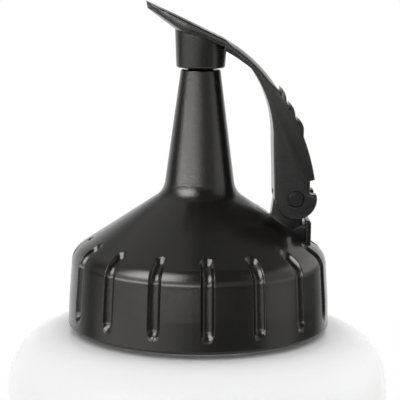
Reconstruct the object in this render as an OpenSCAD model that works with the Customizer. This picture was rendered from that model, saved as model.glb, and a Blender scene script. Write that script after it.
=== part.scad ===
// Squeeze bottle for sauces, with a wide screw cap, a tapered nozzle and a flip lever that closes it.
// The origin is the middle of the underside of the bottle. The hinge of the lever is on the +X side.

/* [Bottle] */
// Outside diameter of the bottle body
bottle_d = 82.4; // [76:0.2:92]
// Height of the flat ledge that the neck rises from
ledge_z = 195; // [150:1:230]
// Radius of the round between the body and the ledge
shoulder_r = 11.6; // [8:0.1:12]
// Wall of the body
wall = 1.2; // [1:0.1:1.6]
// Depth of the hollow under the base
base_push = 2.4; // [1:0.1:4]
// Outside radius of the neck, under its thread
neck_r = 24; // [23.9:0.05:24.1]
// Inside radius of the mouth
mouth_r = 22; // [21:0.1:22.4]
// Height of the neck above the cap's lower edge
neck_rise = 12.4; // [12:0.1:12.6]

/* [Thread] */
// Rise of the thread in one turn
pitch = 4; // [3.6:0.1:4.4]
// Radius over the crest of the bottle's thread
thread_r = 25.3; // [25:0.05:25.4]
// Turns of thread on the bottle
neck_turns = 1.5; // [1.2:0.1:1.7]
// Turns of thread in the cap
cap_turns = 1.25; // [1:0.05:1.4]

/* [Cap] */
// Outside radius at the cap's lower edge
cap_r = 28.2; // [27.8:0.1:29]
// Gap between the cap's lower edge and the ledge
rim_gap = 1.1; // [0.8:0.1:2]
// Bore of the cap
cap_bore_r = 25.75; // [25.7:0.05:25.9]
// Number of grip grooves round the cap
grooves = 16; // [8:1:18]
// Turn of the grooves from the hinge
groove_turn = 2.8; // [-11:0.1:11]
// Radius of the tool that cuts a groove
groove_r = 1.4; // [1.1:0.05:1.6]
// Distance of the groove's centre line outside the surface
groove_out = 0.35; // [0.2:0.05:0.6]

/* [Nozzle] */
// Height of the nozzle's shoulder above the cap's lower edge
nozzle_z = 54.9; // [48:0.1:60]
// Radius of the nozzle at that shoulder
nozzle_r = 4.22; // [3.9:0.01:4.6]
// Radius of the outlet
outlet_r = 1.5; // [1:0.05:1.6]
// Height of the small spigot that stands on the nozzle
spigot_h = 1.7; // [1.2:0.1:1.8]

/* [Lever] */
// Width of the lever across the hinge
lever_w = 11; // [10:0.1:12]
// Distance of the hinge pin from the bottle's axis
pin_x = 20.4; // [20.3:0.05:20.5]
// Height of the hinge pin above the cap's lower edge
pin_z = 28; // [27.9:0.05:28.1]
// Radius of the lever's round end
end_r = 4.45; // [4.2:0.05:4.5]
// Thickness of the lug between the lever's cheeks
lug_w = 4.5; // [3.5:0.1:5]
// Radius of the pin's shank
pin_r = 1.25; // [1:0.05:1.3]
// Radius of the pin's heads
pin_head_r = 1.72; // [1.6:0.02:1.8]

/* [Hidden] */
$fn = 96;

bottle_r = bottle_d / 2;
rim_z = ledge_z + rim_gap;
neck_top = rim_z + neck_rise;
// Each turn of thread is broken into ridges, one every step, each as long as the span.
ridge_step = 45;
ridge_span = 38;
// The sealing ring lies between the neck and the cap with a hair of room at each face.
ring_h = 1.2;
ring_gap = 0.1;
roof_z = neck_rise + ring_h + 2 * ring_gap;
ring_bore_r = 21.8;
ring_r = 25.2;

// The cap's outline, as radius and height above its lower edge.
side_mid = [27.95, 6.5];
side_top = [27.48, 13];
slope_low = [23.6, 18.3];
slope = 1.5;
cap_corner = [27.32, slope_low[1] - (27.32 - slope_low[0]) / slope];
cap_round = 4.4;
foot = [7.68, slope_low[1] + (slope_low[0] - 7.68) / slope];
foot_round = 4.5;
dome_wall = 2.4;
outlet_len = 4;

// The lever's outline, as distance from the bottle's axis and height above the cap's lower edge.
pad_tip = [-11.6, 69.25];
pad_root = [5.1, 61.45];
under_tip = [-11.35, 67.7];
under_mid = [-4.6, 62.75];
under_root = [4.9, 60];
arm_low_out = [24.3, 32.15];
tooth_first = [17.13, 51.3];
tooth_last = [21, 44.7];
teeth = 3;
knee = [21.75, 41.3];
notch_in = [23.3, 31.85];
notch_out = [24.68, 28.95];
arm_in_low = [pin_x - end_r - 0.1, pin_z];
arm_in_mid = [15.3, 40.6];
arm_in_top = [10.46, 55.46];
arm_in_end = [4.6, 59.35];
cheek_gap = 0.25;
slot_r = end_r + 0.4;
cup_r = 5.18;
cup_top_r = 5.5;
cup_z = 55.3;
cup_bore_r = 4.4;
pad_roof_z = 59.9;
pad_gap = 0.15;
// Room round the pin: in the cheeks, under its heads, and the depth of each head below the face.
pin_room = 0.05;
head_h = 1;
head_sink = 0.35;

// Unit vector from a to b.
function along(a, b) = (b - a) / norm(b - a);
// Point at the same place as a vertex, without its radius.
function xy(v) = [v[0], v[1]];
// Points of an arc from a to b that bulges by s to the left of the way from a to b.
function bow(a, b, s, n) =
    let (half = norm(b - a) / 2, r = (half * half + s * s) / (2 * abs(s)), u = along(a, b),
         side = sign(s) * [-u[1], u[0]], c = (a + b) / 2 + side * (abs(s) - r), h = asin(half / r))
    [for (i = [0 : n]) let (t = -h + 2 * h * i / n) c + r * (cos(t) * side + sin(t) * u)];
// Centre of the round of radius v[2] at vertex v, between its neighbours a and b.
function round_centre(a, v, b) =
    let (p = xy(v), u = along(p, xy(a)), w = along(p, xy(b)), h = acos(u * w) / 2)
    p + (u + w) / norm(u + w) * v[2] / sin(h);
// Length that the round takes from each side of the corner.
function round_reach(a, v, b) =
    let (p = xy(v), u = along(p, xy(a)), w = along(p, xy(b)), h = acos(u * w) / 2)
    v[2] / tan(h);
// Angle brought between -180 and 180.
function wrap(t) = t > 180 ? t - 360 : (t < -180 ? t + 360 : t);
// Points of the round at vertex v.
function corner(a, v, b, n) =
    let (p = xy(v), c = round_centre(a, v, b), d = round_reach(a, v, b),
         from = p + along(p, xy(a)) * d - c, to = p + along(p, xy(b)) * d - c,
         t0 = atan2(from[1], from[0]), dt = wrap(atan2(to[1], to[0]) - t0))
    [for (i = [0 : n]) c + v[2] * [cos(t0 + dt * i / n), sin(t0 + dt * i / n)]];
// A closed outline from vertices [x, y] or [x, y, radius].
function rounded(v, n = 8) =
    [for (i = [0 : len(v) - 1])
        let (a = v[(i + len(v) - 1) % len(v)], b = v[(i + 1) % len(v)])
        each (len(v[i]) > 2 && v[i][2] > 0 ? corner(a, v[i], b, n) : [xy(v[i])])];
// Points raised by z, for an outline given above the cap's lower edge.
function raised(points, z = rim_z) = [for (p = points) [p[0], p[1] + z]];

// Extrudes an outline drawn in the X-Z plane, centred on Y.
module plate(points, width) {
    translate([0, width / 2, 0])
        rotate([90, 0, 0])
            linear_extrude(width)
                polygon(points);
}

// A cylinder along Y.
module cross_bar(x, z, r, width) {
    translate([x, width / 2, z])
        rotate([90, 0, 0])
            cylinder(r = r, h = width);
}

// A thread of short ridges along a helix, with a vent gap after each ridge.
module thread(r_root, r_crest, root_w, crest_w, z0, turns) {
    ridges = round(turns * 360 / ridge_step);
    lead = atan(pitch / (2 * PI * r_crest));
    for (i = [0 : ridges - 1])
        translate([0, 0, z0 + pitch * i * ridge_step / 360])
            rotate([0, 0, i * ridge_step])
                rotate([lead, 0, 0])
                    rotate([0, 0, -ridge_span / 2])
                        rotate_extrude(angle = ridge_span)
                            polygon([[r_root, -root_w / 2], [r_crest, -crest_w / 2], [r_crest, crest_w / 2],
                                     [r_root, root_w / 2]]);
}

// Blown bottle: recessed base, straight body, round shoulder, flat ledge and neck.
module bottle_outline() {
    in_r = bottle_r - wall;
    recess_r = 30;
    foot_in_r = 33;
    outer = [[0, base_push], [recess_r, base_push, 2], [foot_in_r, 0, 2], [bottle_r, 0, 5],
             [bottle_r, ledge_z, shoulder_r], [neck_r, ledge_z, 1], [neck_r, neck_top, 0.5]];
    inner = [[mouth_r, neck_top, 0.5], [mouth_r, ledge_z - wall, 1],
             [in_r, ledge_z - wall, shoulder_r - wall], [in_r, wall, 4], [foot_in_r, wall, 2],
             [recess_r, base_push + wall, 2], [0, base_push + wall]];
    polygon(rounded(concat(outer, inner), 10));
}

module bottle_body() {
    color([0.93, 0.93, 0.9, 0.85]) {
        rotate_extrude() bottle_outline();
        thread(neck_r - 0.3, thread_r, 2.4, 1.1, rim_z + 3, neck_turns);
    }
}

module sealing_ring() {
    low = neck_top + ring_gap;
    color([0.85, 0.85, 0.83])
        rotate_extrude()
            polygon(rounded([[ring_bore_r, low, 0.3], [ring_r, low, 0.3], [ring_r, low + ring_h, 0.3],
                             [ring_bore_r, low + ring_h, 0.3]], 4));
}

// Outside of the cap: side, shoulder, sloping dome, nozzle and spigot.
module cap_outline() {
    top = nozzle_z + spigot_h;
    v = [[0, 0], [cap_r, 0, 0.7], side_mid, side_top, concat(cap_corner, cap_round),
         concat(foot, foot_round), [nozzle_r, nozzle_z, 0.3], [outlet_r + 1.2, nozzle_z, 0.3],
         [outlet_r + 0.6, top, 0.2], [0, top]];
    polygon(raised(rounded(v, 10)));
}

// Hollow of the cap, from the bore to the outlet.
module cap_hollow() {
    roof_r = 22.4;
    throat_r = 5.7;
    channel_r = 2.4;
    step_z = nozzle_z + spigot_h - outlet_len;
    past_top = step_z + outlet_len + 1;
    dome_in = slope_low[1] - dome_wall;
    v = [[0, -1], [cap_bore_r, -1], [cap_bore_r, roof_z, 0.3], [roof_r, roof_z],
         [roof_r, dome_in + (slope_low[0] - roof_r) / slope, 1.5],
         [throat_r, dome_in + (slope_low[0] - throat_r) / slope, 3],
         [channel_r, step_z - 1], [outlet_r, step_z], [outlet_r, past_top], [0, past_top]];
    polygon(raised(rounded(v, 8)));
}

// A rod in the X-Z plane from p to q, given above the cap's lower edge, with a round end at q if asked.
module rod(p, q, r, round_end) {
    d = q - p;
    length = norm(d);
    tip = round_end ? [for (t = [15 : 15 : 90]) [r * cos(t), length + r * sin(t)]] : [[0, length]];
    translate([p[0], 0, rim_z + p[1]])
        rotate([0, atan2(d[0], d[1]), 0])
            rotate_extrude()
                polygon(concat([[0, 0], [r, 0], [r, length]], tip));
}

// One grip groove, drawn on the +X side: down the side, across the shoulder and onto the dome.
module groove() {
    low_z = 3.9;
    run = 1.5;
    lap = 0.2;
    v = concat(cap_corner, cap_round);
    c = round_centre(side_top, v, foot);
    up = along(side_top, cap_corner);
    down = along(cap_corner, foot);
    reach = (cap_round + groove_out) * [up[1], -up[0]] + c;
    far = (cap_round + groove_out) * [down[1], -down[0]] + c;
    bend = (cap_round + groove_out) * tan(acos(up * down) / 4);
    first = reach + up * bend;
    second = far - down * bend;
    rod(first + up * lap, reach - up * (c[1] - low_z), groove_r, true);
    rod(first - along(first, second) * lap, second + along(first, second) * lap, 0.98 * groove_r, false);
    rod(second - down * lap, far + down * run, groove_r, true);
}

// Cuts the first so many grip grooves into its child, one after another.
module grooved(count) {
    if (count == 0)
        children();
    else
        difference() {
            grooved(count - 1) children();
            rotate([0, 0, groove_turn + (count - 1) * 360 / grooves])
                groove();
        }
}

// Lug for the pin and, beyond a slit, the plate that stops the open lever.
module hinge_lug() {
    right = 22.1;
    slit = 0.45;
    slit_z = 21.95;
    left = pin_x - end_r;
    dome_z = slope_low[1] + (slope_low[0] - left) / slope;
    start = 12.4;
    body = [[start, 17], [start, dome_z + (left - start) / slope], [left, dome_z, 1.9], [left, pin_z],
            [right, pin_z], [right, slit_z, 0.2], [right + slit + 0.2, slit_z], [right + slit + 0.2, 17]];
    plate_v = [[right + slit, 16.5], [right + slit, 23.2, 0.4], [right + slit + 1.25, 23.2, 0.6],
               [right + slit + 1.25, 16.5]];
    difference() {
        union() {
            cross_bar(pin_x, rim_z + pin_z, end_r + 0.05, lug_w);
            plate(raised(rounded(body, 8)), lug_w);
        }
        cross_bar(pin_x, rim_z + pin_z, pin_r, lug_w + 2);
    }
    plate(raised(rounded(plate_v, 6)), lever_w - 1.6);
}

module screw_cap() {
    color([0.13, 0.13, 0.125]) {
        difference() {
            union() {
                grooved(grooves)
                    rotate([0, 0, groove_turn + 180 / grooves])
                        rotate_extrude()
                            cap_outline();
                hinge_lug();
            }
            rotate_extrude() cap_hollow();
        }
        thread(cap_bore_r + 0.35, neck_r + 0.35, 2.2, 1, rim_z + 3 + pitch / 2, cap_turns);
    }
}

module hinge_pin() {
    face = lever_w / 2 - head_sink;
    neck = face - head_h;
    color([0.2, 0.19, 0.19])
        translate([pin_x, 0, rim_z + pin_z])
            rotate([90, 0, 0])
                rotate_extrude()
                    polygon(rounded([[0, -face], [pin_head_r, -face, 0.25], [pin_head_r, -neck],
                                     [pin_r, -neck], [pin_r, neck], [pin_head_r, neck],
                                     [pin_head_r, face, 0.25], [0, face]], 4));
}

// Side outline of the arm, from the root of the thumb pad round the hinge and back.
function arm_points() =
    let (step = (tooth_last - tooth_first) / (teeth - 1),
         a0 = atan2(notch_out[1] - pin_z, notch_out[0] - pin_x))
    concat(
        bow(pad_root, tooth_first + [-0.22, -1.15], 1.1, 10),
        [for (i = [0 : teeth - 1])
            let (tip = tooth_first + step * i, last = i == teeth - 1)
            each [if (i > 0) tip + [-0.25, -1.15], tip, tip + [0.5, -0.75], tip + [0.75, -1.6],
                  if (!last) tip + [0.93, -2.7]]],
        bow(knee, arm_low_out, 0.25, 6),
        rounded([notch_in, [notch_in[0], notch_out[1], 0.5], notch_out], 4),
        [for (t = [a0 : -10 : -176]) [pin_x + end_r * cos(t), pin_z + end_r * sin(t)]],
        bow(arm_in_low, arm_in_mid, 0.05, 2),
        bow(arm_in_mid, arm_in_top, -1.25, 10),
        bow(arm_in_top, arm_in_end, -0.12, 4));

// Thumb pad: a leaf in plan, dished on top and rounded under its free end.
module thumb_pad() {
    half = lever_w / 2;
    end_x = -12;
    end_half = half - 0.6;
    plan = [[8, -half], [-3, -half - 0.25], [end_x, -end_half, 4.6], [end_x, end_half, 4.6],
            [-3, half + 0.25], [8, half]];
    u = along(under_tip, under_mid);
    keel_r = 20;
    keel = under_tip + [-u[1], u[0]] * keel_r;
    dish_r = 26;
    mid = (pad_tip + pad_root) / 2 + [-1, 0.47];
    n = [-along(pad_tip, pad_root)[1], along(pad_tip, pad_root)[0]];
    dish = mid + n * (dish_r - 0.55);
    difference() {
        intersection() {
            plate(raised(concat([pad_tip], [pad_root], [under_root], bow(under_root, under_mid, 0.3, 4),
                                [under_mid, under_tip])), 2 * lever_w);
            translate([0, 0, rim_z + 50])
                linear_extrude(30)
                    polygon(rounded(plan, 8));
            translate([keel[0], 0, rim_z + keel[1]])
                rotate([0, 90 + atan2(-u[1], u[0]), 0])
                    cylinder(r = keel_r, h = 60, center = true);
        }
        translate([dish[0], 0, rim_z + dish[1]])
            sphere(r = dish_r);
    }
}

// Cup under the thumb pad that covers the end of the nozzle.
module cup() {
    top = 66;
    flare_z = 63;
    u = along(pad_tip, pad_root);
    cut = 0.9;
    v = [[0, cup_z], [cup_r, cup_z, 0.6], [cup_top_r, flare_z], [cup_top_r, top], [0, top]];
    intersection() {
        translate([0, 0, rim_z])
            rotate_extrude()
                polygon(rounded(v, 6));
        plate(raised([[-10, 50], [10, 50], pad_root + u * 4 - [0, cut], pad_tip - [0, cut]]), 2 * lever_w);
    }
}

module flip_lever() {
    half = lever_w / 2;
    recess = head_h + head_sink + pin_room;
    color([0.24, 0.235, 0.23])
        difference() {
            union() {
                plate(raised(concat(arm_points(), [[3, 61], [4, 61.9]])), lever_w);
                thumb_pad();
                cup();
            }
            // Slot for the lug, between the two cheeks.
            cross_bar(pin_x, rim_z + pin_z, slot_r, lug_w + 2 * cheek_gap);
            // Bore for the pin's shank, and a recess for the head at each end.
            cross_bar(pin_x, rim_z + pin_z, pin_r + pin_room, lever_w + 2);
            for (side = [-1, 1])
                translate([0, side * (half - recess / 2 + 0.5), 0])
                    cross_bar(pin_x, rim_z + pin_z, pin_head_r + pin_room, recess + 1);
            // Room for the pad in the cup.
            translate([0, 0, rim_z + cup_z - 1])
                cylinder(r = cup_bore_r, h = pad_roof_z - cup_z + 1);
        }
}

// Soft pad in the cup, with a shallow dome that closes the outlet.
module stopper_pad() {
    low = nozzle_z + spigot_h + pad_gap;
    dome_r = outlet_r - 0.05;
    dome_h = 0.25;
    ball_r = (dome_r * dome_r + dome_h * dome_h) / (2 * dome_h);
    dome = [for (i = [0 : 4])
            let (t = asin(dome_r / ball_r) * i / 4)
            [ball_r * sin(t), low - dome_h + ball_r * (1 - cos(t))]];
    edge = corner([dome_r, low], [cup_bore_r, low, 0.3], [cup_bore_r, pad_roof_z], 4);
    color([0.3, 0.3, 0.3])
        translate([0, 0, rim_z])
            rotate_extrude()
                polygon(concat(dome, edge, [[cup_bore_r, pad_roof_z], [0, pad_roof_z]]));
}

bottle_body();
sealing_ring();
screw_cap();
hinge_pin();
flip_lever();
stopper_pad();
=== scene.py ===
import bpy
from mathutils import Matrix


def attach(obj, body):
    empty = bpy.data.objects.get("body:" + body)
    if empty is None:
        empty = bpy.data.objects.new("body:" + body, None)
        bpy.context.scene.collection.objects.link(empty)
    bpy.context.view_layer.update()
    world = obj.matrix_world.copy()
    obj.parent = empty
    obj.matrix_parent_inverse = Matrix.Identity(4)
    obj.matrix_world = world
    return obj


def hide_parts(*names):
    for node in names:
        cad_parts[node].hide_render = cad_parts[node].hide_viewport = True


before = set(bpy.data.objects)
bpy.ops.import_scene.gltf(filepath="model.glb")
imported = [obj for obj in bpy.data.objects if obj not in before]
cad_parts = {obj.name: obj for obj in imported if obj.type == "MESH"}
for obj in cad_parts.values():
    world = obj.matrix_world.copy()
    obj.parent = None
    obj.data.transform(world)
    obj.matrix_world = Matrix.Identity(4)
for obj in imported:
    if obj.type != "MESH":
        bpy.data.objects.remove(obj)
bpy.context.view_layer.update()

import math

import bmesh
import bpy
from mathutils import Matrix, Vector

# Lengths are in mm unless a comment says metres. Heights on the cap and the lever are above the cap's
# lower edge, and those on the bottle are above the table. A point of an outline is its radius or X, its
# height and, at a rounded corner, the radius of the round.
MM = 0.001
RIM_Z = 196.1

# Camera, as solved from the curves in the photo, with its angles in radians
IMAGE_PX = 400
FOCAL_PX = 1434.27
SENSOR_W = 36.0
CAMERA_AT = (0.132, -304.87, RIM_Z + 76.13)
HINGE_TURN = math.radians(1.0)
PITCH = 0.16032
ROLL = 0.01013

scene = bpy.context.scene
cam_data = bpy.data.cameras.new("camera")
cam_data.sensor_fit = "HORIZONTAL"
cam_data.sensor_width = SENSOR_W
cam_data.lens = FOCAL_PX / IMAGE_PX * SENSOR_W
cam_data.clip_start = 0.01
cam_data.clip_end = 20
camera = bpy.data.objects.new("camera", cam_data)
scene.collection.objects.link(camera)
camera.matrix_world = (
    Matrix.Rotation(-HINGE_TURN, 4, "Z")
    @ Matrix.Translation(Vector(CAMERA_AT) * MM)
    @ Matrix.Rotation(math.pi / 2 - PITCH, 4, "X")
    @ Matrix.Rotation(ROLL, 4, "Z")
)
scene.camera = camera

# Helpers for node trees
NOISE_LOW = 0.3
NOISE_HIGH = 0.7


def new_material(name):
    mat = bpy.data.materials.new(name)
    mat.use_nodes = True
    tree = mat.node_tree
    tree.nodes.clear()
    out = tree.nodes.new("ShaderNodeOutputMaterial")
    shader = tree.nodes.new("ShaderNodeBsdfPrincipled")
    tree.links.new(shader.outputs["BSDF"], out.inputs["Surface"])
    return mat, tree, shader


def object_coords(tree):
    return tree.nodes.new("ShaderNodeTexCoord").outputs["Object"]


def noise(tree, scale, coords, detail=3.0, stretch=(1, 1, 1)):
    mapping = tree.nodes.new("ShaderNodeMapping")
    mapping.inputs["Scale"].default_value = stretch
    tree.links.new(coords, mapping.inputs["Vector"])
    texture = tree.nodes.new("ShaderNodeTexNoise")
    texture.inputs["Scale"].default_value = scale
    texture.inputs["Detail"].default_value = detail
    tree.links.new(mapping.outputs["Vector"], texture.inputs["Vector"])
    return texture.outputs["Fac"]


def ramp(tree, value, dark, light):
    """Colour that goes from dark to light over the middle of a noise."""
    node = tree.nodes.new("ShaderNodeValToRGB")
    stops = node.color_ramp.elements
    for stop, position, colour in zip(stops, (NOISE_LOW, NOISE_HIGH), (dark, light)):
        stop.position = position
        stop.color = (*colour, 1)
    tree.links.new(value, node.inputs["Fac"])
    return node.outputs["Color"]


def map_range(tree, value, from_lo, from_hi, to_lo=0.0, to_hi=1.0):
    node = tree.nodes.new("ShaderNodeMapRange")
    node.inputs["From Min"].default_value = from_lo
    node.inputs["From Max"].default_value = from_hi
    node.inputs["To Min"].default_value = to_lo
    node.inputs["To Max"].default_value = to_hi
    tree.links.new(value, node.inputs["Value"])
    return node.outputs["Result"]


def math_node(tree, operation, first, second=None):
    node = tree.nodes.new("ShaderNodeMath")
    node.operation = operation
    for i, value in enumerate((first, second)):
        if isinstance(value, (int, float)):
            node.inputs[i].default_value = value
        elif value is not None:
            tree.links.new(value, node.inputs[i])
    return node.outputs["Value"]


def by_height(tree, coords, heights, values):
    """A value that goes from the first of values to the second between two heights."""
    split = tree.nodes.new("ShaderNodeSeparateXYZ")
    tree.links.new(coords, split.inputs["Vector"])
    low, high = ((RIM_Z + height) * MM for height in heights)
    return map_range(tree, split.outputs["Z"], low, high, *values)


# Plastics: two close tones, the roughness with its spread, and the depth of the grain in metres
PLASTICS = {
    "cap_plastic": ((0.0068, 0.0062, 0.0058), (0.0088, 0.0082, 0.0077), 0.19, 0.025, 0.00004),
    "lever_plastic": ((0.0125, 0.0121, 0.0118), (0.0165, 0.016, 0.0157), 0.23, 0.03, 0.000006),
    "pin_plastic": ((0.002, 0.0018, 0.0018), (0.0035, 0.0033, 0.0032), 0.25, 0.03, 0.000006),
    "soft_pad": ((0.05, 0.05, 0.05), (0.07, 0.07, 0.07), 0.6, 0.05, 0.00001),
    "seal_foam": ((0.7, 0.7, 0.68), (0.8, 0.8, 0.78), 0.7, 0.05, 0.00002),
}
PATCH_SCALE = 120.0
GLOSS_SCALE = 2000.0
GRAIN_SCALE = 2800.0
GRAIN_DETAIL = 2.0
# The cap's grain grows from its share on the skirt to its full depth between these heights.
NOZZLE_GRAIN_Z = (22, 30)
SKIRT_GRAIN = 0.3
# Milky plastic: roughness, spread and grain as above, and tones that change from the body's to the
# shoulder's between two heights, which are negative because they lie below the cap's lower edge. The
# shoulder's tones are lighter: painted light that lifts the shade under the cap.
MILKY_GLOSS_AND_GRAIN = (0.13, 0.02, 0.000001)
BODY_TONES = ((0.885, 0.885, 0.878), (0.905, 0.905, 0.898))
SHOULDER_PAINTED_LIGHT_TONES = ((0.99, 0.99, 0.99), (0.996, 0.996, 0.996))
PAINTED_LIGHT_Z = (-16, -5)
FLOW_SCALE = 60.0
FLOW_STRETCH = (1, 1, 0.25)


def gloss_and_grain(tree, shader, coords, rough, spread, grain):
    gloss = noise(tree, GLOSS_SCALE, coords)
    uneven = map_range(tree, gloss, NOISE_LOW, NOISE_HIGH, rough - spread, rough + spread)
    tree.links.new(uneven, shader.inputs["Roughness"])
    bump = tree.nodes.new("ShaderNodeBump")
    bump.inputs["Distance"].default_value = grain
    tree.links.new(noise(tree, GRAIN_SCALE, coords, GRAIN_DETAIL), bump.inputs["Height"])
    tree.links.new(bump.outputs["Normal"], shader.inputs["Normal"])


def plastic(name, dark, light, rough, spread, grain):
    """Moulded plastic with slightly uneven colour and gloss and a fine grain."""
    mat, tree, shader = new_material(name)
    coords = object_coords(tree)
    tones = ramp(tree, noise(tree, PATCH_SCALE, coords), dark, light)
    tree.links.new(tones, shader.inputs["Base Color"])
    gloss_and_grain(tree, shader, coords, rough, spread, grain)
    return mat


def ease_skirt_grain(mat):
    tree = mat.node_tree
    strength = by_height(tree, object_coords(tree), NOZZLE_GRAIN_Z, (SKIRT_GRAIN, 1.0))
    tree.links.new(strength, tree.nodes["Bump"].inputs["Strength"])


def milky_plastic():
    """Milky blown plastic that scatters light, with a faint flow of tone along the body and painted light on
    the shoulder.
    """
    mat, tree, shader = new_material("milky_plastic")
    coords = object_coords(tree)
    flow = noise(tree, FLOW_SCALE, coords, stretch=FLOW_STRETCH)
    blend = tree.nodes.new("ShaderNodeMix")
    blend.data_type = "RGBA"
    # Lighter tones on the shoulder under the cap: painted light against the shade that the cap casts there.
    tree.links.new(by_height(tree, coords, PAINTED_LIGHT_Z, (0, 1)), blend.inputs["Factor"])
    tree.links.new(ramp(tree, flow, *BODY_TONES), blend.inputs["A"])
    tree.links.new(ramp(tree, flow, *SHOULDER_PAINTED_LIGHT_TONES), blend.inputs["B"])
    tree.links.new(blend.outputs["Result"], shader.inputs["Base Color"])
    gloss_and_grain(tree, shader, coords, *MILKY_GLOSS_AND_GRAIN)
    shader.inputs["Subsurface Weight"].default_value = 1.0
    shader.inputs["Subsurface Scale"].default_value = 0.0004
    shader.inputs["Subsurface Radius"].default_value = (1.0, 1.0, 0.95)
    shader.inputs["Specular IOR Level"].default_value = 0.1
    shader.inputs["IOR"].default_value = 1.4
    return mat


materials = {name: plastic(name, *look) for name, look in PLASTICS.items()}
materials["milky_plastic"] = milky_plastic()
ease_skirt_grain(materials["cap_plastic"])

# The ring, the pin and the soft pad show the solids themselves.
for node, name in (("sealing_ring", "seal_foam"), ("hinge_pin", "pin_plastic"), ("stopper_pad", "soft_pad")):
    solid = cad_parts[node]
    solid.data.materials.clear()
    solid.data.materials.append(materials[name])

# Helpers for outlines
# Where an outline turns nearly straight back, the sum of its two normals is shorter than this.
STRAIGHT_BACK = 0.2


def rounded(points, steps):
    """Points of a closed outline, with an arc at each corner that has a radius."""
    out = []
    for i, point in enumerate(points):
        corner = Vector(point[:2])
        if len(point) < 3:
            out.append(corner)
            continue
        radius = point[2]
        back = (Vector(points[i - 1][:2]) - corner).normalized()
        on = (Vector(points[(i + 1) % len(points)][:2]) - corner).normalized()
        half = math.acos(max(-1, min(1, back.dot(on)))) / 2
        centre = corner + (back + on).normalized() * radius / math.sin(half)
        reach = radius / math.tan(half)
        first, last = corner + back * reach - centre, corner + on * reach - centre
        start = math.atan2(first.y, first.x)
        sweep = math.atan2(last.y, last.x) - start
        sweep = (sweep + math.pi) % (2 * math.pi) - math.pi
        for k in range(steps + 1):
            angle = start + sweep * k / steps
            out.append(centre + radius * Vector((math.cos(angle), math.sin(angle))))
    return out


def bow(start, end, rise, steps):
    """Arc from start to end that bulges by rise to the left."""
    start, end = Vector(start), Vector(end)
    half = (end - start).length / 2
    radius = (half * half + rise * rise) / (2 * abs(rise))
    along = (end - start).normalized()
    side = Vector((-along.y, along.x)) * (1 if rise > 0 else -1)
    centre = (start + end) / 2 + side * (abs(rise) - radius)
    limit = math.asin(half / radius)
    angles = [-limit + 2 * limit * i / steps for i in range(steps + 1)]
    return [centre + radius * (math.cos(angle) * side + math.sin(angle) * along) for angle in angles]


def resample(points, step):
    """Adds points so that no stretch is longer than step."""
    out = [points[0]]
    for point in points[1:]:
        last = out[-1]
        count = max(1, math.ceil((point - last).length / step))
        out += [last + (point - last) * k / count for k in range(1, count + 1)]
    return out


def inward_normals(points, least_cosine):
    """Where each point of a closed outline goes when its sides move in by 1, held back at sharp corners."""
    count = len(points)
    area = sum(points[i - 1].x * points[i].y - points[i].x * points[i - 1].y for i in range(count)) / 2
    side = 1 if area > 0 else -1
    normals = []
    for i, point in enumerate(points):
        into = (point - points[i - 1]).normalized()
        on = (points[(i + 1) % count] - point).normalized()
        first = Vector((-into.y, into.x)) * side
        normal = first + Vector((-on.y, on.x)) * side
        normal = normal.normalized() if normal.length > STRAIGHT_BACK else first
        normals.append(normal / max(least_cosine, normal.dot(first)))
    return normals


def smooth_step(value, lo, hi):
    share = max(0.0, min(1.0, (value - lo) / (hi - lo)))
    return share * share * (3 - 2 * share)


# Helpers for meshes: edges from this angle in degrees stay sharp, and points this near in metres merge.
SHARP_FROM = 35.0
MERGE_WITHIN = 1e-7
SPOKES = 128
BAR_SPOKES = 96
EDGE_STEPS = 4


def link(obj):
    scene.collection.objects.link(obj)
    return obj


def soften(obj, sharp_from=SHARP_FROM):
    for poly in obj.data.polygons:
        poly.use_smooth = True
    obj.data.set_sharp_from_angle(angle=math.radians(sharp_from))


def make_mesh(name, verts, faces, sharp_from=SHARP_FROM):
    """Mesh object from points in mm, with clean outward normals."""
    mesh = bpy.data.meshes.new(name)
    mesh.from_pydata([(x * MM, y * MM, z * MM) for x, y, z in verts], [], faces)
    bm = bmesh.new()
    bm.from_mesh(mesh)
    bmesh.ops.remove_doubles(bm, verts=bm.verts, dist=MERGE_WITHIN)
    bmesh.ops.recalc_face_normals(bm, faces=bm.faces)
    bm.to_mesh(mesh)
    bm.free()
    obj = link(bpy.data.objects.new(name, mesh))
    soften(obj, sharp_from)
    return obj


def skin(rows, count, closed=False):
    """Faces between neighbouring rows of count points each, and from the last row to the first if closed."""
    faces = []
    for i in range(rows if closed else rows - 1):
        over = (i + 1) % rows
        for j in range(count):
            k = (j + 1) % count
            faces.append((i * count + j, i * count + k, over * count + k, over * count + j))
    return faces


def turned(name, profile, spokes=SPOKES, base=RIM_Z, clip=None, relief=None, sharp_from=SHARP_FROM):
    """Solid of revolution about the bottle's axis with closed ends, from radius and height above base."""
    verts = []
    for point in profile:
        for j in range(spokes):
            angle = 2 * math.pi * j / spokes
            radius = point.x + (relief(point, angle) if relief else 0.0)
            x, z = radius * math.cos(angle), point.y
            if clip:
                z = min(z, clip(x))
            verts.append((x, radius * math.sin(angle), base + z))
    faces = skin(len(profile), spokes)
    faces.append(tuple(reversed(range(spokes))))
    faces.append(tuple((len(profile) - 1) * spokes + j for j in range(spokes)))
    return make_mesh(name, verts, faces, sharp_from)


def edge_turns():
    """Angles round the quarter circle of an edge, from the side of a piece inward."""
    return [math.pi / 2 * (1 - k / EDGE_STEPS) for k in range(EDGE_STEPS + 1)]


def boolean(obj, tool, operation="DIFFERENCE"):
    mod = obj.modifiers.new("cut", "BOOLEAN")
    mod.operation = operation
    mod.solver = "EXACT"
    mod.object = tool
    bpy.context.view_layer.update()
    graph = bpy.context.evaluated_depsgraph_get()
    mesh = bpy.data.meshes.new_from_object(obj.evaluated_get(graph))
    obj.modifiers.clear()
    old = obj.data
    obj.data = mesh
    bpy.data.meshes.remove(old)
    bpy.data.objects.remove(tool)


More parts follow.
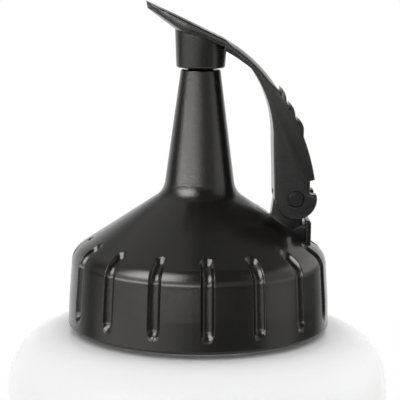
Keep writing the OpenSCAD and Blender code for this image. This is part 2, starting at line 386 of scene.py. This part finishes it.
def dress(obj, body, slot, *nodes):
    """Sets a piece's body and the slot that its material is named after."""
    obj.data.materials.clear()
    obj.data.materials.append(materials[slot])
    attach(obj, body)
    if nodes:
        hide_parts(*nodes)


# Threads: the height of the start above the cap's lower edge, the turns, half the width at the foot,
# the width of a flank, and how far the crest stands out
THREAD_PITCH = 4.0
NECK_THREAD = {"start": 3.0, "turns": 1.5, "half": 1.2, "flank": 0.65, "crest": 1.28}
CAP_THREAD = {"start": 3.0 + THREAD_PITCH / 2, "turns": 1.25, "half": 1.1, "flank": 0.6, "crest": 1.38}
# A thread rises from nothing to its full height over this share of a turn, and falls in the same way.
THREAD_FADE = 0.125
# A point this near to the radius of a wall lies on the wall.
ON_WALL = 0.01


def on_wall(point, radius):
    return abs(point.x - radius) < ON_WALL


def thread(angle, height, start, turns, half, flank, crest):
    """How far a thread stands out at an angle round the axis and at a height."""
    out = 0.0
    for k in range(math.ceil(turns)):
        along = angle / (2 * math.pi) % 1.0 + k
        if along > turns:
            continue
        fade = min(1.0, min(along, turns - along) / THREAD_FADE)
        off = abs(height - (start + THREAD_PITCH * along))
        out += max(0.0, min(1.0, (half - off) / flank)) * crest * fade
    return out


# Bottle
BOTTLE_R = 41.2
LEDGE_Z = 195.0
SHOULDER_R = 11.6
WALL = 1.2
NECK_R = 24.0
MOUTH_R = 22.0
NECK_TOP = 208.5
FOOT_R = 33
RECESS_R = 30
RECESS_Z = 2.4
AXIS_R = 0.02
BODY_STEP = 6.0
NECK_STEP = 0.22
BOTTLE_SPOKES = 256


def bottle_mesh():
    outside = [
        (AXIS_R, RECESS_Z), (RECESS_R, RECESS_Z, 2), (FOOT_R, 0, 2), (BOTTLE_R, 0, 5),
        (BOTTLE_R, LEDGE_Z, SHOULDER_R), (NECK_R, LEDGE_Z, 1), (NECK_R, NECK_TOP, 0.5),
    ]
    inside = [
        (MOUTH_R, NECK_TOP, 0.5), (MOUTH_R, LEDGE_Z - WALL, 1),
        (BOTTLE_R - WALL, LEDGE_Z - WALL, SHOULDER_R - WALL), (BOTTLE_R - WALL, WALL, 4),
        (FOOT_R, WALL, 2), (RECESS_R, RECESS_Z + WALL, 2), (AXIS_R, RECESS_Z + WALL),
    ]
    profile = rounded(outside + inside, steps=24)
    fine = []
    for start, end in zip(profile, profile[1:]):
        step = NECK_STEP if on_wall(start, NECK_R) and on_wall(end, NECK_R) else BODY_STEP
        count = max(1, math.ceil((end - start).length / step))
        fine += [start + (end - start) * k / count for k in range(count)]
    fine.append(profile[-1])

    def neck_thread(point, angle):
        return thread(angle, point.y - RIM_Z, **NECK_THREAD) if on_wall(point, NECK_R) else 0.0

    return turned("bottle", fine, BOTTLE_SPOKES, base=0.0, relief=neck_thread, sharp_from=50)


# Screw cap
CAP_R = 28.2
SKIRT_MID = (27.95, 6.5, 30)
SKIRT_TOP = (27.48, 13.0)
CORNER = (27.32, 15.82, 4.4)
FLARE = (7.68, 28.91, 4.5)
NOZZLE_R = 4.22
NOZZLE_TOP = 54.9
SPIGOT_FOOT_R = 2.7
SPIGOT_R = 2.1
SPIGOT_TOP = 56.6
OUTLET_R = 1.5
OUTLET_MID = 54.0
OUTLET_LOW = 52.6
CHANNEL_TOP = (2.4, 51.6)
CHANNEL_FOOT = (5.7, 27.83, 3)
HOLLOW_R = 22.4
HOLLOW_TOP = 16.7
CAP_ROOF = 13.8
BORE_R = 25.75
BORE_EDGE_R = 25.9
OUTER_STEP = 0.55
INNER_STEP = 1.2

# Grip grooves, each cut by a round whose middle lies outside the surface, with a slightly softened edge
GROOVES = 16
GROOVE_TURN = math.radians(2.8)
GROOVE_R = 1.4
GROOVE_OUT = 0.35
GROOVE_SOFT = 0.08
GROOVE_REACH = 1.85
GROOVE_LOW = 3.9
GROOVE_LEAST_R = 20
# The straight part ends this far past the first point that is inside this radius and above this height.
GROOVE_TOP = (27.2, 17.25)
GROOVE_PAST_TOP = 0.9
# Distances from the middle of a groove of the points on one side of it, and the points between two grooves
GROOVE_POINTS = (1.9, 1.62, 1.5, 1.42, 1.35, 1.27, 1.15, 0.95, 0.65, 0.33)
PLAIN_POINTS = 7
# Inside this radius the points across a groove keep their angles instead of their distances.
SPACING_R = 23.0


def groove_depth(aside, past):
    """Depth of a groove at a distance aside from its middle and past the end of its straight part."""
    off = math.hypot(aside, past)
    if off > GROOVE_REACH:
        return 0.0
    inside = GROOVE_R * GROOVE_R - off * off
    raw = (math.sqrt(inside) if inside > 0 else GROOVE_R - off) - GROOVE_OUT
    return 0.5 * (raw + math.sqrt(raw * raw + GROOVE_SOFT * GROOVE_SOFT))


def ring_angles(radius):
    """Angles of a ring's points, each with its distance from a groove's middle, or None between grooves."""
    across = [-width for width in GROOVE_POINTS] + [0] + list(reversed(GROOVE_POINTS))
    sector = 2 * math.pi / GROOVES
    edge = GROOVE_POINTS[0] / radius
    plain = sector - 2 * edge
    out = []
    for g in range(GROOVES):
        middle = GROOVE_TURN + g * sector
        out += [(middle + width / radius, width) for width in across]
        out += [(middle + edge + plain * (k + 1) / (PLAIN_POINTS + 1), None) for k in range(PLAIN_POINTS)]
    return out


def cap_outside():
    """From the lower edge up over skirt, dome, nozzle and spigot, and into the outlet."""
    corners = [
        (BORE_EDGE_R, 0), (CAP_R, 0, 0.7), SKIRT_MID, SKIRT_TOP, CORNER, FLARE,
        (NOZZLE_R, NOZZLE_TOP, 0.35), (SPIGOT_FOOT_R, NOZZLE_TOP, 0.25), (SPIGOT_R, SPIGOT_TOP, 0.25),
        (OUTLET_R, SPIGOT_TOP, 0.1), (OUTLET_R, OUTLET_MID),
    ]
    # The first corner only gives the next one its direction.
    return resample(rounded(corners, steps=14)[1:], OUTER_STEP)


def cap_inside():
    """From the outlet down through the channel, the hollow and the bore to the lower edge."""
    corners = [
        (OUTLET_R, OUTLET_MID), (OUTLET_R, OUTLET_LOW), CHANNEL_TOP, CHANNEL_FOOT,
        (HOLLOW_R, HOLLOW_TOP, 1.5), (HOLLOW_R, CAP_ROOF), (BORE_R, CAP_ROOF, 0.3), (BORE_R, 0, 0.2),
        (BORE_EDGE_R, 0),
    ]
    # The outside has the first corner already, and the last one only gives a direction.
    return resample(rounded(corners, steps=6)[1:-1], INNER_STEP)


def cap_mesh():
    outer = cap_outside()
    inner = cap_inside()
    path = [0.0]
    for start, end in zip(outer, outer[1:]):
        path.append(path[-1] + (end - start).length)
    places = list(zip(path, outer))
    low = next(place for place, point in places if point.y > GROOVE_LOW)
    top = next(place for place, point in places if point.x < GROOVE_TOP[0] and point.y > GROOVE_TOP[1])
    top += GROOVE_PAST_TOP
    verts = []
    for row, (place, point) in enumerate(places):
        radius = max(point.x, SPACING_R)
        before = outer[max(0, row - 1)]
        after = outer[min(len(outer) - 1, row + 1)]
        along = (after - before).normalized()
        normal = Vector((along.y, -along.x))
        past = max(0.0, low - place, place - top)
        for angle, width in ring_angles(radius):
            depth = 0.0
            if width is not None and point.x > GROOVE_LEAST_R:
                depth = groove_depth(abs(width) * point.x / radius, past)
            cut = point - normal * depth
            verts.append((cut.x * math.cos(angle), cut.x * math.sin(angle), RIM_Z + cut.y))
    ring = ring_angles(SPACING_R)
    for point in inner:
        for angle, _ in ring:
            radius = point.x
            if on_wall(point, BORE_R):
                radius -= thread(angle, point.y, **CAP_THREAD)
            verts.append((radius * math.cos(angle), radius * math.sin(angle), RIM_Z + point.y))
    faces = skin(len(outer) + len(inner), len(ring), closed=True)
    return make_mesh("cap", verts, faces, sharp_from=40)


# Hinge, at whose pin the lever's round end turns on the cap's lug
PIN = (20.4, 28.0)
PIN_R = 1.25
END_R = 4.45


def about_pin(radius, degrees):
    """Points about the pin at the given angles."""
    out = []
    for angle in map(math.radians, degrees):
        out.append(Vector((PIN[0] + radius * math.cos(angle), PIN[1] + radius * math.sin(angle))))
    return out


def pin_bar(radius, width, y=0.0):
    """Cutting cylinder on the pin's axis, with its middle at y."""
    verts = []
    for end in (-width / 2, width / 2):
        for j in range(BAR_SPOKES):
            angle = 2 * math.pi * j / BAR_SPOKES
            x, z = PIN[0] + radius * math.cos(angle), PIN[1] + radius * math.sin(angle)
            verts.append((x, end, RIM_Z + z))
    faces = skin(2, BAR_SPOKES)
    faces += [tuple(range(BAR_SPOKES)), tuple(reversed(range(BAR_SPOKES, 2 * BAR_SPOKES)))]
    tool = make_mesh("tool", verts, faces)
    tool.data.transform(Matrix.Translation((0, y * MM, 0)))
    return tool


# Hinge lug and stop plate on the cap, with a slit between them
LUG_W = 4.5
LUG_EDGE = 0.2
LUG_RIGHT = 22.1
LUG_START = 12.4
LUG_FOOT = 17
LUG_CORNER_R = 1.9
LUG_SIDE_H = 5
LUG_OVER = 0.05
LUG_BAR_W = 8
SLIT_W = 0.45
SLIT_Z = 21.95
SLIT_CORNER_R = 0.2
STOP_OVERLAP = 0.2
STOP_W = 9.4
STOP_EDGE = 0.25
STOP_THICK = 1.25
STOP_TOP = 23.2
STOP_FOOT = 16.5
DOME_AT = (23.6, 18.3)
DOME_RUN = 1.5
SLAB_ROWS = 8
SLAB_LEAST_COSINE = 0.5


def slab(name, points, width, edge):
    """Outline in the X-Z plane with rounded edges, centred on Y."""
    flat = width / 2 - edge
    near_edge = [(-flat - edge * math.sin(turn), edge * (1 - math.cos(turn))) for turn in edge_turns()]
    far_edge = [(-y, inset) for y, inset in reversed(near_edge)]
    middle = [(-flat * (1 - 2 * k / SLAB_ROWS), 0.0) for k in range(1, SLAB_ROWS)]
    stations = near_edge + middle + far_edge
    normals = inward_normals(points, SLAB_LEAST_COSINE)
    verts = []
    for y, inset in stations:
        for point, normal in zip(points, normals):
            moved = point + normal * inset
            verts.append((moved.x, y, RIM_Z + moved.y))
    count = len(points)
    faces = skin(len(stations), count)
    faces.append(tuple(range(count)))
    faces.append(tuple((len(stations) - 1) * count + i for i in reversed(range(count))))
    return make_mesh(name, verts, faces)


def lug_mesh():
    """Lug that stands in the dome, with its round end about the pin."""
    left = PIN[0] - END_R
    dome_z = DOME_AT[1] + (DOME_AT[0] - left) / DOME_RUN
    start_z = dome_z + (left - LUG_START) / DOME_RUN
    slit_end = LUG_RIGHT + SLIT_W + STOP_OVERLAP
    dome_side = [(LUG_START, LUG_FOOT), (LUG_START, start_z), (left, dome_z, LUG_CORNER_R)]
    slit_side = [
        (LUG_RIGHT, SLIT_Z + LUG_SIDE_H), (LUG_RIGHT, SLIT_Z, SLIT_CORNER_R),
        (slit_end, SLIT_Z), (slit_end, LUG_FOOT),
    ]
    outline = rounded(dome_side, steps=10) + about_pin(END_R + LUG_OVER, range(180, 64, -5))
    lug = slab("cap_lug", outline + rounded(slit_side, steps=4), LUG_W, LUG_EDGE)
    boolean(lug, pin_bar(PIN_R, LUG_BAR_W))
    soften(lug)
    return lug


def stop_mesh():
    near = LUG_RIGHT + SLIT_W
    far = near + STOP_THICK
    plate = [(near, STOP_FOOT), (near, STOP_TOP, 0.35), (far, STOP_TOP, 0.55), (far, STOP_FOOT)]
    return slab("cap_stop", rounded(plate, steps=6), STOP_W, STOP_EDGE)


# Flip lever, as points of its side view: the thumb pad over and under, the arm's back and its inner side
LEVER_W = 11.0
PAD_TIP = Vector((-11.6, 69.25))
PAD_ROOT = Vector((5.1, 61.45))
UNDER_TIP = Vector((-11.35, 67.7))
UNDER_MID = Vector((-4.6, 62.75))
UNDER_ROOT = Vector((4.9, 60.0))
OVER_TEETH = Vector((-0.22, -1.15))
BACK_HIGH = (21.75, 41.3)
BACK_LOW = (24.3, 32.15)
HEEL = ((23.3, 31.85), (23.3, 29.4), (23.43, 29.08), (23.75, 28.95), (24.68, 28.95))
INNER_LOW = (PIN[0] - END_R - 0.1, PIN[1])
INNER_MID = (15.3, 40.6)
INNER_HIGH = (10.46, 55.46)
INNER_ROOT = (4.6, 59.35)
UNDER_RISE = 0.3
ARM_RISE = 1.1
BACK_RISE = 0.25
INNER_RISES = (0.05, -1.25, -0.12)
PAD_POINTS = 44

# Finger teeth: the first and last tip, and a tooth's other points as seen from its tip
TEETH = 3
FIRST_TOOTH = Vector((17.13, 51.3))
LAST_TOOTH = Vector((21.0, 44.7))
TOOTH_BACK = ((0, 0), (0.5, -0.75), (0.75, -1.6))
TOOTH_NOTCH = Vector((0.93, -2.7))
TOOTH_START = Vector((-0.25, -1.15))
TOOTH_EDGE = 0.25

# Pad in plan: where it leaves the arm, its widest place, its taper from there on, and its round tip
PAD_LEAVES_X = 8
PAD_WIDEST_X = -3
PAD_WIDEN = 0.25
PAD_TAPER = 0.85 / 9
PAD_TIP_X = -7.4
PAD_TIP_R = 4.6
PAD_TIP_HALF = 0.5
PAD_FROM_Z = 50

# Crowns across the arm: their depth, and the heights and X over which they set in
OUTER_CROWN = (0.62, (50.5, 53.5), (4.5, 7.5))
INNER_CROWN = (0.12, (29, 33), (4.0, 7.5))
DISH = 0.55
DISH_R = 26.0
DISH_OFF = Vector((-1, 0.47))
KEEL_R = 20.0
KEEL_RUN = 4
EDGE = 0.3
LEVER_ROWS = 16
LEVER_LEAST_COSINE = 0.6


def pad_half_width(x):
    """Half width of the lever in plan: even on the arm, wider on the pad, and round at the tip."""
    widened = max(0.0, min(1.0, (PAD_LEAVES_X - x) / (PAD_LEAVES_X - PAD_WIDEST_X)))
    wide = LEVER_W / 2 + PAD_WIDEN * widened - PAD_TAPER * max(0.0, PAD_WIDEST_X - x)
    if x < PAD_TIP_X:
        wide = min(wide, PAD_TIP_HALF + math.sqrt(max(0.0, PAD_TIP_R**2 - (x - PAD_TIP_X) ** 2)))
    return wide


def under_outline():
    """Underside of the pad, from the arm to the tip, at even steps of X."""
    below = [UNDER_ROOT] + bow(UNDER_ROOT, UNDER_MID, UNDER_RISE, 8)[1:-1] + [UNDER_MID, UNDER_TIP]

    def below_at(x):
        for right, left in zip(below, below[1:]):
            if left.x <= x <= right.x:
                return left.lerp(right, (x - left.x) / (right.x - left.x))
        return below[-1] if x < below[-1].x else below[0]

    span = UNDER_TIP.x - UNDER_ROOT.x
    return [below_at(UNDER_ROOT.x + span * k / PAD_POINTS) for k in range(PAD_POINTS + 1)]


def teeth_outline():
    step = (LAST_TOOTH - FIRST_TOOTH) / (TEETH - 1)
    out = []
    for i in range(TEETH):
        tip = FIRST_TOOTH + step * i
        if i > 0:
            out.append(tip + TOOTH_START)
        out += [tip + Vector(offset) for offset in TOOTH_BACK]
        if i < TEETH - 1:
            out.append(tip + TOOTH_NOTCH)
    return out


def plain(points, kind="arm"):
    return [(point, kind, 0.0) for point in points]


def crowned(points, depth, heights, across):
    crowns = [depth * smooth_step(point.y, *heights) * smooth_step(point.x, *across) for point in points]
    return [(point, "arm", crown) for point, crown in zip(points, crowns)]


def lever_outline():
    """Side outline of pad and arm as (point, kind, crown), with as many points over as under the pad."""
    top = plain([PAD_TIP.lerp(PAD_ROOT, k / PAD_POINTS) for k in range(PAD_POINTS + 1)], "top")
    arm = crowned(bow(PAD_ROOT, FIRST_TOOTH + OVER_TEETH, ARM_RISE, 26)[1:], *OUTER_CROWN)
    arm += plain(teeth_outline(), "tooth")
    arm += plain(bow(BACK_HIGH, BACK_LOW, BACK_RISE, 12))
    arm += plain([Vector(point) for point in HEEL])
    arm += plain(about_pin(END_R, range(7, -178, -5)))
    inner = bow(INNER_LOW, INNER_MID, INNER_RISES[0], 8)
    inner += bow(INNER_MID, INNER_HIGH, INNER_RISES[1], 24)[1:]
    inner += bow(INNER_HIGH, INNER_ROOT, INNER_RISES[2], 8)[1:]
    arm += crowned(inner, *INNER_CROWN)
    return top, arm, plain(under_outline(), "under")


def lever_mesh():
    top, arm, under = lever_outline()
    loop = top + arm + under
    count = len(loop)
    normals = inward_normals([point for point, _, _ in loop], LEVER_LEAST_COSINE)
    dish_mid = (PAD_TIP + PAD_ROOT) / 2 + DISH_OFF
    shares = [-1 + 2 * k / LEVER_ROWS for k in range(1, LEVER_ROWS)]
    stations = [("edge", -1, turn) for turn in edge_turns()] + [("flat", share, 0) for share in shares]
    stations += [("edge", 1, turn) for turn in reversed(edge_turns())]
    verts = []
    for form, share, turn in stations:
        for (point, kind, crown), normal in zip(loop, normals):
            half = pad_half_width(point.x) if point.y > PAD_FROM_Z else LEVER_W / 2
            if form == "edge":
                y = share * (half - EDGE + EDGE * math.sin(turn))
                inset = EDGE * (1 - math.cos(turn)) * (TOOTH_EDGE if kind == "tooth" else 1.0)
            else:
                y = share * (half - EDGE)
                inset = 0.0
            if kind == "top":
                away = (point - dish_mid).length
                inset += max(0.0, DISH - (away * away + y * y) / (2 * DISH_R))
            elif kind == "under":
                inset += y * y / (2 * KEEL_R) * smooth_step(UNDER_ROOT.x - point.x, 0, KEEL_RUN)
            inset += crown * (y / half) ** 2
            moved = point + normal * inset
            verts.append((moved.x, y, RIM_Z + moved.y))
    faces = skin(len(stations), count)
    # Each side is closed by a strip of faces over the pad and one face over the arm.
    for base in (0, (len(stations) - 1) * count):
        start = base + len(top) + len(arm)
        for k in range(PAD_POINTS):
            faces.append((base + k, base + k + 1, start + PAD_POINTS - 1 - k, start + PAD_POINTS - k))
        arm_side = [base + len(top) + k for k in range(len(arm))]
        faces.append(tuple([base + PAD_POINTS] + arm_side + [start]))
    return make_mesh("lever", verts, faces)


# Cup under the pad: points of its outside, which ends a little below the pad's top, and of its bore
CUP_WALL = ((4.6, 55.3), (5.18, 55.3, 0.5), (5.5, 63), (5.5, 64))
CUP_TOP = 68
CUP_CORE_R = 0.5
CUP_UNDER_TOP = 0.9
CUP_BORE = ((0.3, 50), (4.4, 50), (4.4, 59.9), (0.3, 59.9))

# What is cut at the hinge: the gap between the cheeks, the pin's hole, and its heads' recesses with a fine
# step round each
CHEEK_GAP = 5.0
CHEEK_OVER = 0.4
PIN_HOLE_R = 1.3
THROUGH_W = 14
HEAD_R = 1.77
HEAD_DEPTH = 1.4
HEAD_CUT = 2.4
STEP_R = 1.93
STEP_DEPTH = 0.1


def cup_mesh():
    slope = (PAD_ROOT.y - PAD_TIP.y) / (PAD_ROOT.x - PAD_TIP.x)
    wall = rounded(CUP_WALL, steps=6)
    foot = Vector((CUP_CORE_R, CUP_WALL[0][1]))
    outline = [foot] + wall + [Vector((CUP_WALL[-1][0], CUP_TOP)), Vector((CUP_CORE_R, CUP_TOP))]
    return turned("cup", outline, clip=lambda x: PAD_TIP.y + slope * (x - PAD_TIP.x) - CUP_UNDER_TOP)


def lever_piece():
    lever = lever_mesh()
    boolean(lever, cup_mesh(), "UNION")
    boolean(lever, turned("tool", [Vector(point) for point in CUP_BORE]))
    boolean(lever, pin_bar(END_R + CHEEK_OVER, CHEEK_GAP))
    boolean(lever, pin_bar(PIN_HOLE_R, THROUGH_W))
    face = LEVER_W / 2
    for side in (-1, 1):
        boolean(lever, pin_bar(HEAD_R, HEAD_CUT, side * (face - HEAD_DEPTH + HEAD_CUT / 2)))
        boolean(lever, pin_bar(STEP_R, 2 * STEP_DEPTH, side * face))
    soften(lever)
    return lever


dress(bottle_mesh(), "bottle", "milky_plastic", "bottle_body")
dress(cap_mesh(), "cap", "cap_plastic", "screw_cap")
dress(lug_mesh(), "cap", "cap_plastic")
dress(stop_mesh(), "cap", "cap_plastic")
dress(lever_piece(), "lever_body", "lever_plastic", "flip_lever")

# Softboxes that glossy surfaces see: azimuth and elevation in degrees, each as (low, high, soft below,
# soft above), and the level. Azimuth 0 is the camera's side, and left of it is negative.
SKY = 0.13
STUDIO_COLOUR = (1.0, 0.985, 0.965, 1)
SOFTBOXES = (
    ((-56, -40, 62, 40), (6, 12, 4, 30), 1.95),
    ((-70, -20, 20, 40), (1, 3, 2, 3), 12.0),
    ((-60, -32, 30, 24), (27, 45, 9, 24), 8.5),
    ((-80, -52, 34, 62), (-60, -9, 20, 8), 1.2),
    ((64, 100, 24, 40), (2, 32, 14, 24), 0.75),
    ((66, 82, 16, 20), (-35, 0, 16, 8), 0.6),
    ((-8, 34, 20, 34), (3, 14, 8, 14), 0.42),
    ((-150, -60, 30, 30), (44, 91, 20, 1), 0.42),
    ((120, 150, 40, 30), (50, 91, 15, 1), 0.1),
    ((112, 140, 24, 20), (8, 34, 6, 8), 1.0),
)
# The white backdrop behind the object, as glossy surfaces see it
BACKDROP = (
    ((-181, -140, 1, 34), (-91, 0, 1, 38), 1.0),
    ((150, 181, 30, 1), (-91, 0, 1, 38), 1.0),
)


def sky_angles(tree):
    """Azimuth and elevation in degrees of the way that a ray looks."""
    split = tree.nodes.new("ShaderNodeSeparateXYZ")
    tree.links.new(tree.nodes.new("ShaderNodeTexCoord").outputs["Generated"], split.inputs["Vector"])
    toward = math_node(tree, "MULTIPLY", split.outputs["Y"], -1.0)
    azimuth = math_node(tree, "ARCTAN2", split.outputs["X"], toward)
    elevation = math_node(tree, "ARCSINE", split.outputs["Z"])
    return [math_node(tree, "MULTIPLY", angle, 180 / math.pi) for angle in (azimuth, elevation)]


def window(tree, value, lo, hi, soft_lo, soft_hi):
    """1 between lo and hi, falling smoothly to 0 over soft_lo below and soft_hi above."""
    rise = map_range(tree, value, lo - soft_lo, lo)
    fall = map_range(tree, value, hi, hi + soft_hi, 1.0, 0.0)
    rise.node.interpolation_type = fall.node.interpolation_type = "SMOOTHSTEP"
    return math_node(tree, "MULTIPLY", rise, fall)


def panels(tree, azimuth, elevation, rows):
    """Sum of the soft windows in rows."""
    total = None
    for across, up, level in rows:
        shape = math_node(tree, "MULTIPLY", window(tree, azimuth, *across), window(tree, elevation, *up))
        panel = math_node(tree, "MULTIPLY", shape, level)
        total = panel if total is None else math_node(tree, "ADD", total, panel)
    return total


def make_world():
    """Plain white all round, but gloss shows the softboxes, and behind the object the backdrop."""
    world = bpy.data.worlds.new("studio")
    scene.world = world
    world.use_nodes = True
    tree = world.node_tree
    tree.nodes.clear()
    out = tree.nodes.new("ShaderNodeOutputWorld")
    azimuth, elevation = sky_angles(tree)
    studio = tree.nodes.new("ShaderNodeBackground")
    studio.inputs["Color"].default_value = STUDIO_COLOUR
    boxes = panels(tree, azimuth, elevation, SOFTBOXES)
    tree.links.new(math_node(tree, "ADD", boxes, SKY), studio.inputs["Strength"])
    white = tree.nodes.new("ShaderNodeBackground")
    white.inputs["Color"].default_value = (1, 1, 1, 1)
    white.inputs["Strength"].default_value = 1.0
    rays = tree.nodes.new("ShaderNodeLightPath").outputs
    mirrored = math_node(tree, "SUBTRACT", rays["Is Glossy Ray"], rays["Is Transmission Ray"])
    front = math_node(tree, "SUBTRACT", 1.0, panels(tree, azimuth, elevation, BACKDROP))
    front.node.use_clamp = mirrored.node.use_clamp = True
    mix = tree.nodes.new("ShaderNodeMixShader")
    tree.links.new(math_node(tree, "MULTIPLY", mirrored, front), mix.inputs["Fac"])
    tree.links.new(white.outputs["Background"], mix.inputs[1])
    tree.links.new(studio.outputs["Background"], mix.inputs[2])
    tree.links.new(mix.outputs["Shader"], out.inputs["Surface"])


# Floor, in metres: it takes the shadow near the object, and farther out the camera sees it fade to white.
FLOOR_R = 0.56
FLOOR_RINGS = 24
FLOOR_SPOKES = 96
FLOOR_TONES = ((0.86, 0.86, 0.86), (0.88, 0.88, 0.88))
FLOOR_ROUGH = 0.6
FLOOR_SCALE = 6.0
FADE_FROM = 0.2
FADE_TO = 0.5


def floor_mesh():
    mesh = bpy.data.meshes.new("floor")
    verts = [(0, 0, 0)]
    for i in range(1, FLOOR_RINGS + 1):
        radius = FLOOR_R * (i / FLOOR_RINGS) ** 2
        for j in range(FLOOR_SPOKES):
            angle = 2 * math.pi * j / FLOOR_SPOKES
            verts.append((radius * math.cos(angle), radius * math.sin(angle), 0))
    faces = [(0, 1 + j, 1 + (j + 1) % FLOOR_SPOKES) for j in range(FLOOR_SPOKES)]
    for i in range(FLOOR_RINGS - 1):
        near = 1 + i * FLOOR_SPOKES
        far = near + FLOOR_SPOKES
        for j in range(FLOOR_SPOKES):
            k = (j + 1) % FLOOR_SPOKES
            faces.append((near + j, far + j, far + k, near + k))
    mesh.from_pydata(verts, [], faces)
    return mesh


def floor_material():
    mat, tree, shader = new_material("floor")
    coords = object_coords(tree)
    tones = ramp(tree, noise(tree, FLOOR_SCALE, coords), *FLOOR_TONES)
    tree.links.new(tones, shader.inputs["Base Color"])
    shader.inputs["Roughness"].default_value = FLOOR_ROUGH
    length = tree.nodes.new("ShaderNodeVectorMath")
    length.operation = "LENGTH"
    tree.links.new(coords, length.inputs[0])
    rays = tree.nodes.new("ShaderNodeLightPath").outputs
    seen = math_node(tree, "MAXIMUM", rays["Is Camera Ray"], rays["Is Transmission Ray"])
    far = map_range(tree, length.outputs["Value"], FADE_FROM, FADE_TO)
    glow = tree.nodes.new("ShaderNodeEmission")
    mix = tree.nodes.new("ShaderNodeMixShader")
    tree.links.new(math_node(tree, "MULTIPLY", far, seen), mix.inputs["Fac"])
    tree.links.new(shader.outputs["BSDF"], mix.inputs[1])
    tree.links.new(glow.outputs["Emission"], mix.inputs[2])
    tree.links.new(mix.outputs["Shader"], tree.nodes["Material Output"].inputs["Surface"])
    return mat


make_world()
floor = link(bpy.data.objects.new("floor", floor_mesh()))
floor.data.materials.append(floor_material())

scene.view_settings.view_transform = "Standard"
